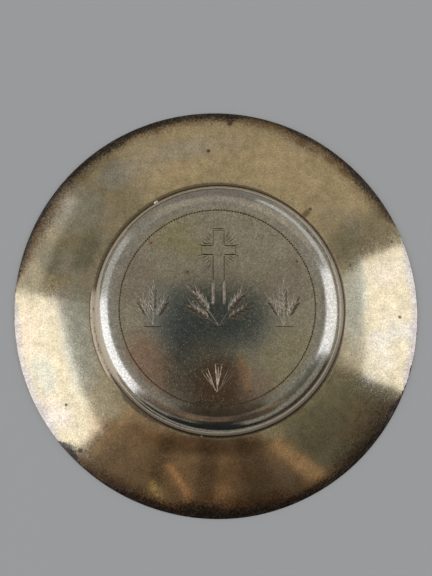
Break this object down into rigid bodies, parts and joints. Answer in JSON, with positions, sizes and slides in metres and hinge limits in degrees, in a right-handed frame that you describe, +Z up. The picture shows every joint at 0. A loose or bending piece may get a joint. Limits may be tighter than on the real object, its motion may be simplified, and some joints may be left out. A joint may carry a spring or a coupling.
{
  "type": "paten",
  "caption": "Round silver-gilt paten lying face down: a gently sloping rim plate round a shallow well, whose back stands up as a low flat-topped boss.",
  "frame": {"origin": "centre of the round outline, at the level of the surface that the rim's edge rests on", "axes": "+Z up, out of the back of the paten, so that its face and the mouth of its well look towards -Z; +Y towards the head of the cross on the boss; +X to the right, seen from above"},
  "size_m": [0.15, 0.15, 0.0093],
  "materials": {
    "gilt_rim": "gilding over silver, hand polished, with brown and black tarnish round the edge",
    "worn_gilt_well": "gilding worn thin over silver, finely scratched, with blue-grey and brown tarnish",
    "tarnished_solder": "silver solder, darkened and pitted"
  },
  "bodies": {
    "root": {"rim_plate": "gilt_rim", "well_dish": "worn_gilt_well", "solder_seam": "tarnished_solder"}
  },
  "joints": []
}
